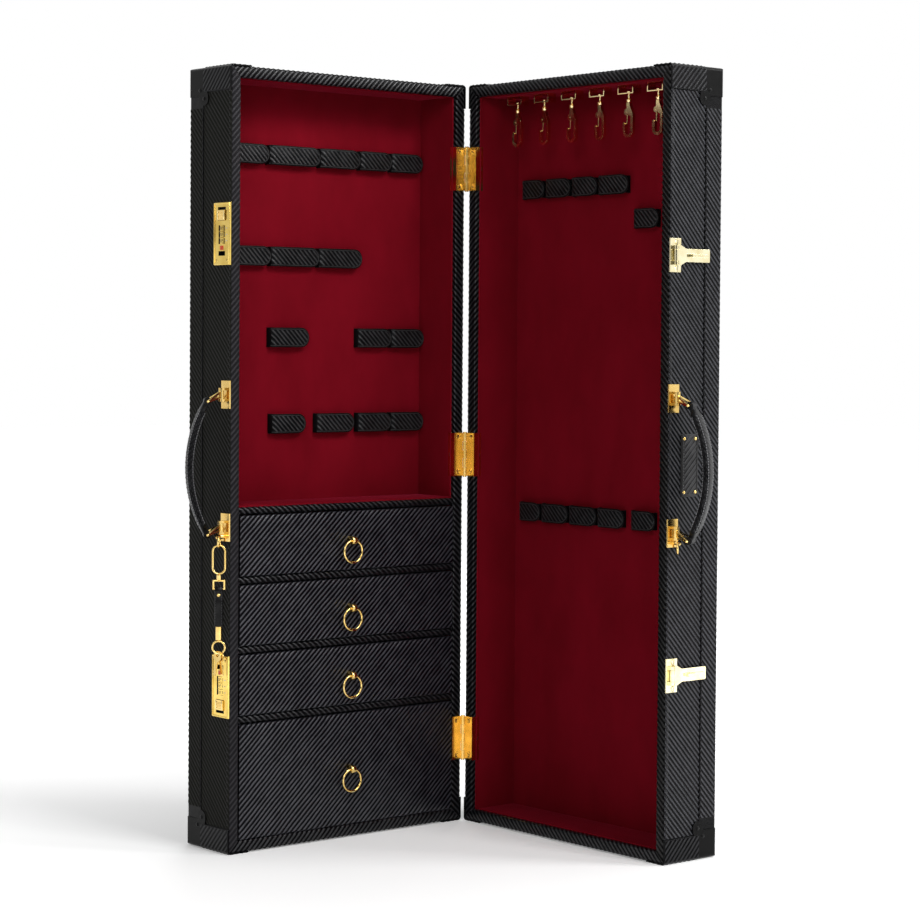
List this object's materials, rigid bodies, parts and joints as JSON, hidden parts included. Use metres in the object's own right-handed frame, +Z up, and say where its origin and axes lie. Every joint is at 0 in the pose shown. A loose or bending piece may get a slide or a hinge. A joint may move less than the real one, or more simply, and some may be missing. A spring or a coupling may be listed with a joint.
{
  "type": "upright organiser suitcase",
  "caption": "Hard-sided suitcase that stands on end and opens like a book, lined in red velvet, with drawers, tool loops, snap hooks, combination locks and leather handles.",
  "frame": {"origin": "on the floor, under the middle of the whole object's box, with the case open at 90 degrees", "axes": "+Z up along the hinge line; the drawer half faces -Y with its back at +Y and reaches from the hinge towards -X; the hook half faces -X and reaches from the hinge towards -Y"},
  "size_m": [0.4592, 0.4592, 0.85],
  "materials": {
    "panel_leather": "black, embossed with fine slanted ribs, satin",
    "trim_leather": "black, slanted ribs with stitched edges",
    "drawer_leather": "black, embossed with fine slanted ribs",
    "loop_leather": "black, slanted ribs, soft",
    "strap_leather": "black, smooth grain with stitched edges",
    "red_velvet": "deep red velvet with a soft sheen",
    "gold_metal": "polished gold plate",
    "corner_metal": "black, smooth satin"
  },
  "bodies": {
    "left_case": {"left_shell": "panel_leather", "left_rim": "trim_leather", "left_leather_trim": "trim_leather", "left_corner_caps": "corner_metal", "left_fasteners": "gold_metal", "left_lining": "red_velvet", "drawer_shelves": "drawer_leather", "left_loops": "loop_leather", "left_hinge_leaves": "gold_metal", "hinge_pins": "gold_metal", "lock_plates": "gold_metal", "left_handle_mounts": "gold_metal"},
    "right_case": {"right_shell": "panel_leather", "right_rim": "trim_leather", "right_leather_trim": "trim_leather", "right_corner_caps": "corner_metal", "right_fasteners": "gold_metal", "right_lining": "red_velvet", "right_loops": "loop_leather", "right_hinge_leaves": "gold_metal", "hook_brackets": "gold_metal", "hasp_bases": "gold_metal", "right_handle_mounts": "gold_metal", "name_tag": "strap_leather"},
    "drawer_1": {"drawer_1": "drawer_leather"},
    "ring_1": {"pull_ring_1": "gold_metal"},
    "drawer_2": {"drawer_2": "drawer_leather"},
    "ring_2": {"pull_ring_2": "gold_metal"},
    "drawer_3": {"drawer_3": "drawer_leather"},
    "ring_3": {"pull_ring_3": "gold_metal"},
    "drawer_4": {"drawer_4": "drawer_leather"},
    "ring_4": {"pull_ring_4": "gold_metal"},
    "upper_dial_1": {"upper_dial_1": "gold_metal"},
    "upper_dial_2": {"upper_dial_2": "gold_metal"},
    "upper_dial_3": {"upper_dial_3": "gold_metal"},
    "upper_lock_button": {"upper_lock_button": "gold_metal"},
    "lower_dial_1": {"lower_dial_1": "gold_metal"},
    "lower_dial_2": {"lower_dial_2": "gold_metal"},
    "lower_dial_3": {"lower_dial_3": "gold_metal"},
    "lower_lock_button": {"lower_lock_button": "gold_metal"},
    "left_handle": {"left_handle_grip": "strap_leather", "left_handle_links": "gold_metal"},
    "right_handle": {"right_handle_grip": "strap_leather", "right_handle_links": "gold_metal"},
    "key_strap": {"key_strap_hardware": "gold_metal", "key_strap": "strap_leather"},
    "upper_hasp": {"upper_hasp": "gold_metal"},
    "lower_hasp": {"lower_hasp": "gold_metal"},
    "snap_hook_1": {"snap_hook_1": "gold_metal"},
    "hook_gate_1": {"hook_gate_1": "gold_metal"},
    "snap_hook_2": {"snap_hook_2": "gold_metal"},
    "hook_gate_2": {"hook_gate_2": "gold_metal"},
    "snap_hook_3": {"snap_hook_3": "gold_metal"},
    "hook_gate_3": {"hook_gate_3": "gold_metal"},
    "snap_hook_4": {"snap_hook_4": "gold_metal"},
    "hook_gate_4": {"hook_gate_4": "gold_metal"},
    "snap_hook_5": {"snap_hook_5": "gold_metal"},
    "hook_gate_5": {"hook_gate_5": "gold_metal"},
    "snap_hook_6": {"snap_hook_6": "gold_metal"},
    "hook_gate_6": {"hook_gate_6": "gold_metal"}
  },
  "joints": [
    {"name": "case_opening", "type": "hinge", "parent": "left_case", "child": "right_case", "pos_m": [0.1482, 0.1482, 0.425], "axis": [0, 0, 1], "range_deg": [-90, 90]},
    {"name": "drawer_1_slide", "type": "slide", "parent": "left_case", "child": "drawer_1", "axis": [0, -1, 0], "range_m": [0, 0.05]},
    {"name": "ring_1_swing", "type": "hinge", "parent": "drawer_1", "child": "ring_1", "pos_m": [-0.0176, 0.1437, 0.333], "axis": [-1, 0, 0], "range_deg": [-10, 150]},
    {"name": "drawer_2_slide", "type": "slide", "parent": "left_case", "child": "drawer_2", "axis": [0, -1, 0], "range_m": [0, 0.05]},
    {"name": "ring_2_swing", "type": "hinge", "parent": "drawer_2", "child": "ring_2", "pos_m": [-0.0176, 0.1437, 0.2575], "axis": [-1, 0, 0], "range_deg": [-10, 150]},
    {"name": "drawer_3_slide", "type": "slide", "parent": "left_case", "child": "drawer_3", "axis": [0, -1, 0], "range_m": [0, 0.05]},
    {"name": "ring_3_swing", "type": "hinge", "parent": "drawer_3", "child": "ring_3", "pos_m": [-0.0176, 0.1437, 0.182], "axis": [-1, 0, 0], "range_deg": [-10, 150]},
    {"name": "drawer_4_slide", "type": "slide", "parent": "left_case", "child": "drawer_4", "axis": [0, -1, 0], "range_m": [0, 0.05]},
    {"name": "ring_4_swing", "type": "hinge", "parent": "drawer_4", "child": "ring_4", "pos_m": [-0.0176, 0.1437, 0.0768], "axis": [-1, 0, 0], "range_deg": [-10, 150]},
    {"name": "upper_dial_1_turn", "type": "hinge", "parent": "left_case", "child": "upper_dial_1", "pos_m": [-0.17825, 0.1644, 0.675], "axis": [0, 0, 1], "continuous": true},
    {"name": "upper_dial_2_turn", "type": "hinge", "parent": "left_case", "child": "upper_dial_2", "pos_m": [-0.17825, 0.1644, 0.6682], "axis": [0, 0, 1], "continuous": true},
    {"name": "upper_dial_3_turn", "type": "hinge", "parent": "left_case", "child": "upper_dial_3", "pos_m": [-0.17825, 0.1644, 0.6614], "axis": [0, 0, 1], "continuous": true},
    {"name": "upper_lock_button_slide", "type": "slide", "parent": "left_case", "child": "upper_lock_button", "axis": [0, 0, 1], "range_m": [0, 0.003], "stiffness_N_per_m": 300, "springref_m": -0.001},
    {"name": "lower_dial_1_turn", "type": "hinge", "parent": "left_case", "child": "lower_dial_1", "pos_m": [-0.17825, 0.1644, 0.175], "axis": [0, 0, 1], "continuous": true},
    {"name": "lower_dial_2_turn", "type": "hinge", "parent": "left_case", "child": "lower_dial_2", "pos_m": [-0.17825, 0.1644, 0.1818], "axis": [0, 0, 1], "continuous": true},
    {"name": "lower_dial_3_turn", "type": "hinge", "parent": "left_case", "child": "lower_dial_3", "pos_m": [-0.17825, 0.1644, 0.1886], "axis": [0, 0, 1], "continuous": true},
    {"name": "lower_lock_button_slide", "type": "slide", "parent": "left_case", "child": "lower_lock_button", "axis": [0, 0, -1], "range_m": [0, 0.003], "stiffness_N_per_m": 300, "springref_m": -0.001},
    {"name": "left_handle_swing", "type": "hinge", "parent": "left_case", "child": "left_handle", "pos_m": [-0.1876, 0.1572, 0.425], "axis": [0, 0, 1], "range_deg": [-27, 60]},
    {"name": "right_handle_swing", "type": "hinge", "parent": "right_case", "child": "right_handle", "pos_m": [0.1572, -0.1876, 0.425], "axis": [0, 0, -1], "range_deg": [-27, 60]},
    {"name": "key_strap_swing", "type": "hinge", "parent": "left_case", "child": "key_strap", "pos_m": [-0.1896, 0.1572, 0.3442], "axis": [0.7071, 0.7071, 0], "range_deg": [0, 45]},
    {"name": "upper_hasp_swing", "type": "hinge", "parent": "right_case", "child": "upper_hasp", "pos_m": [0.1559, -0.18485, 0.648], "axis": [0, 0, -1], "range_deg": [0, 180]},
    {"name": "lower_hasp_swing", "type": "hinge", "parent": "right_case", "child": "lower_hasp", "pos_m": [0.1559, -0.18485, 0.202], "axis": [0, 0, -1], "range_deg": [0, 180]},
    {"name": "snap_hook_1_swivel", "type": "hinge", "parent": "right_case", "child": "snap_hook_1", "pos_m": [0.1812, 0.0972, 0.819], "axis": [0, 0, 1], "continuous": true},
    {"name": "hook_gate_1_swing", "type": "hinge", "parent": "snap_hook_1", "child": "hook_gate_1", "pos_m": [0.1812, 0.0994, 0.8065], "axis": [-1, 0, 0], "range_deg": [0, 25], "stiffness_Nm_per_rad": 0.01, "springref_deg": -11.46},
    {"name": "snap_hook_2_swivel", "type": "hinge", "parent": "right_case", "child": "snap_hook_2", "pos_m": [0.1812, 0.0516, 0.819], "axis": [0, 0, 1], "continuous": true},
    {"name": "hook_gate_2_swing", "type": "hinge", "parent": "snap_hook_2", "child": "hook_gate_2", "pos_m": [0.1812, 0.0538, 0.8065], "axis": [-1, 0, 0], "range_deg": [0, 25], "stiffness_Nm_per_rad": 0.01, "springref_deg": -11.46},
    {"name": "snap_hook_3_swivel", "type": "hinge", "parent": "right_case", "child": "snap_hook_3", "pos_m": [0.1812, 0.006, 0.819], "axis": [0, 0, 1], "continuous": true},
    {"name": "hook_gate_3_swing", "type": "hinge", "parent": "snap_hook_3", "child": "hook_gate_3", "pos_m": [0.1812, 0.0082, 0.8065], "axis": [-1, 0, 0], "range_deg": [0, 25], "stiffness_Nm_per_rad": 0.01, "springref_deg": -11.46},
    {"name": "snap_hook_4_swivel", "type": "hinge", "parent": "right_case", "child": "snap_hook_4", "pos_m": [0.1812, -0.0396, 0.819], "axis": [0, 0, 1], "continuous": true},
    {"name": "hook_gate_4_swing", "type": "hinge", "parent": "snap_hook_4", "child": "hook_gate_4", "pos_m": [0.1812, -0.0374, 0.8065], "axis": [-1, 0, 0], "range_deg": [0, 25], "stiffness_Nm_per_rad": 0.01, "springref_deg": -11.46},
    {"name": "snap_hook_5_swivel", "type": "hinge", "parent": "right_case", "child": "snap_hook_5", "pos_m": [0.1812, -0.0852, 0.819], "axis": [0, 0, 1], "continuous": true},
    {"name": "hook_gate_5_swing", "type": "hinge", "parent": "snap_hook_5", "child": "hook_gate_5", "pos_m": [0.1812, -0.083, 0.8065], "axis": [-1, 0, 0], "range_deg": [0, 25], "stiffness_Nm_per_rad": 0.01, "springref_deg": -11.46},
    {"name": "snap_hook_6_swivel", "type": "hinge", "parent": "right_case", "child": "snap_hook_6", "pos_m": [0.1812, -0.1308, 0.819], "axis": [0, 0, 1], "continuous": true},
    {"name": "hook_gate_6_swing", "type": "hinge", "parent": "snap_hook_6", "child": "hook_gate_6", "pos_m": [0.1812, -0.1286, 0.8065], "axis": [-1, 0, 0], "range_deg": [0, 25], "stiffness_Nm_per_rad": 0.01, "springref_deg": -11.46}
  ]
}
